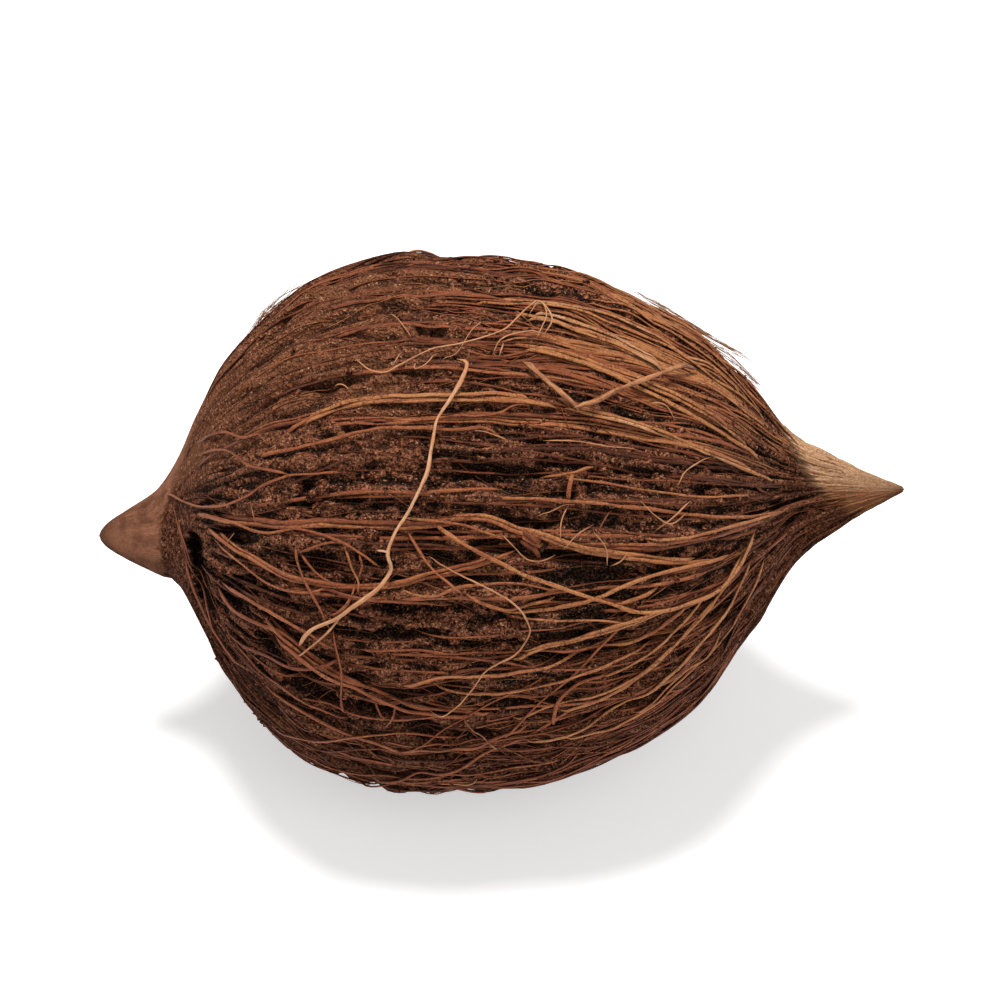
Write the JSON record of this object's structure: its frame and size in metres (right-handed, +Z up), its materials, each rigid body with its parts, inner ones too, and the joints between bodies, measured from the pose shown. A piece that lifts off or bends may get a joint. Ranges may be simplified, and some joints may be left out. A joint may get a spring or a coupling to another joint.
{
  "type": "dwarf coconut",
  "caption": "Small dried coconut with its fibrous husk bare, lemon-shaped with a blunt stem stub and a pointed beak, lying on its side.",
  "frame": {"origin": "centre of the small flat spot under the fruit, which it rests on", "axes": "+X along the fruit towards the pointed beak, +Y towards the back, +Z up"},
  "size_m": [0.12, 0.0818, 0.0781],
  "materials": {
    "husk": "matt, crumbly, dark reddish-brown pith between the fibres of a dry coconut husk",
    "fibre": "matt orange-brown coir fibre, golden towards the beak and red-brown towards the stem",
    "pale_fibre": "dry, pale tan loose fibre and fine hair"
  },
  "bodies": {
    "root": {"coconut": "husk"}
  },
  "joints": []
}
